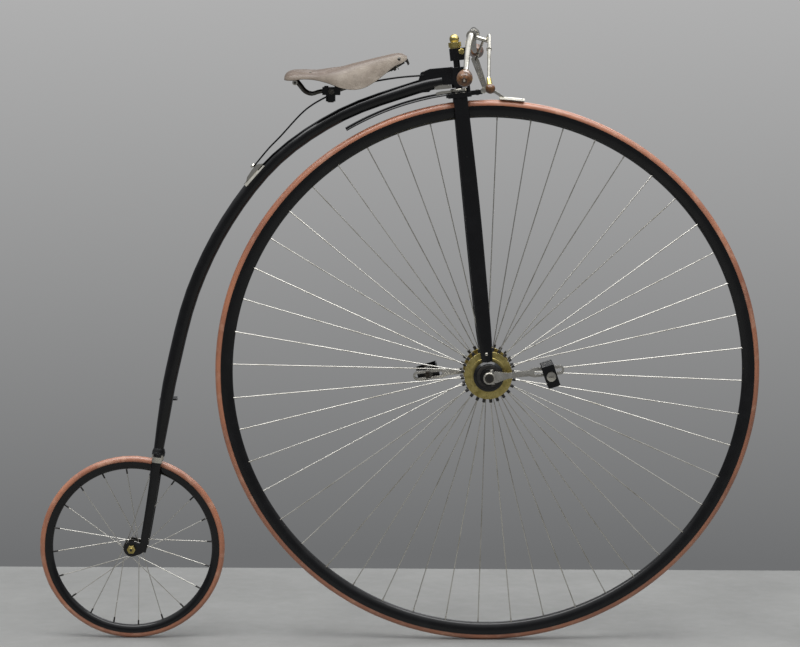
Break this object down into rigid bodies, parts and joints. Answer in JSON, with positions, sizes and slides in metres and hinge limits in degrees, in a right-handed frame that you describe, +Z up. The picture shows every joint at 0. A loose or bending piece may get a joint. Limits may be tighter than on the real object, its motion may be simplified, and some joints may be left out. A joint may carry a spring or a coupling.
{
  "type": "high-wheel bicycle",
  "caption": "High-wheel bicycle: large driven and steered front wheel with pedals, curved backbone, leather saddle on a leaf spring, spoon brake and small trailing rear wheel.",
  "frame": {"origin": "the rider's seat, on the saddle's top in the bicycle's middle plane", "axes": "+X forward, +Y to the rider's left, +Z up"},
  "size_m": [1.8114, 0.6783, 1.5468],
  "materials": {
    "enamel": "gloss black stove enamel, lightly chipped",
    "nickel": "nickel plate, bright and slightly worn",
    "brass": "cast and turned brass, dulled",
    "red_rubber": "solid red rubber, bloomed",
    "steel": "oiled dark steel",
    "leather": "worn brown hide",
    "horn": "polished brown horn"
  },
  "bodies": {
    "frame": {"backbone": "enamel", "head_neck": "enamel", "rear_fork_crown": "enamel", "rear_fork_right": "enamel", "rear_fork_left": "enamel", "rear_axle": "brass", "mounting_step": "enamel", "saddle_spring": "enamel", "spring_clip": "nickel", "saddle_clamp": "enamel", "saddle_rails": "steel", "saddle_cantle": "steel", "saddle_nose_bolt": "steel", "saddle_leather": "leather"},
    "fork": {"fork_head": "enamel", "fork_blade_right": "enamel", "fork_blade_left": "enamel", "bearing_case_right": "enamel", "bearing_case_left": "enamel", "mudguard": "enamel", "handlebar_lug": "nickel", "handlebar": "nickel", "grip_right": "horn", "grip_left": "horn", "adjusting_nut": "brass", "brake_bracket": "nickel", "brake_lever": "nickel", "brake_link": "steel", "brake_spoon": "nickel"},
    "front_wheel": {"front_tyre": "red_rubber", "front_rim": "enamel", "front_spokes": "nickel", "front_hub": "brass", "front_axle": "steel", "crank_right": "nickel", "crank_left": "nickel", "pedal_pin_right": "steel", "pedal_pin_left": "steel"},
    "right_pedal": {"pedal_right_cage": "enamel", "pedal_right_barrel": "steel"},
    "left_pedal": {"pedal_left_cage": "enamel", "pedal_left_barrel": "steel"},
    "rear_wheel": {"rear_tyre": "red_rubber", "rear_rim": "enamel", "rear_spokes": "nickel", "rear_hub": "steel"}
  },
  "joints": [
    {"name": "steering", "type": "hinge", "parent": "frame", "child": "fork", "pos_m": [0.4, 0, -0.761], "axis": [-0.1097, 0, 0.994], "range_deg": [-60, 60]},
    {"name": "front_wheel_spin", "type": "hinge", "parent": "fork", "child": "front_wheel", "pos_m": [0.4, 0, -0.761], "axis": [0, 1, 0], "continuous": true},
    {"name": "right_pedal_spin", "type": "hinge", "parent": "front_wheel", "child": "right_pedal", "pos_m": [0.5469, -0.149, -0.74296], "axis": [0, 1, 0], "continuous": true},
    {"name": "left_pedal_spin", "type": "hinge", "parent": "front_wheel", "child": "left_pedal", "pos_m": [0.2531, 0.149, -0.77904], "axis": [0, 1, 0], "continuous": true},
    {"name": "rear_wheel_spin", "type": "hinge", "parent": "frame", "child": "rear_wheel", "pos_m": [-0.494, 0, -1.2115], "axis": [0, 1, 0], "continuous": true}
  ]
}
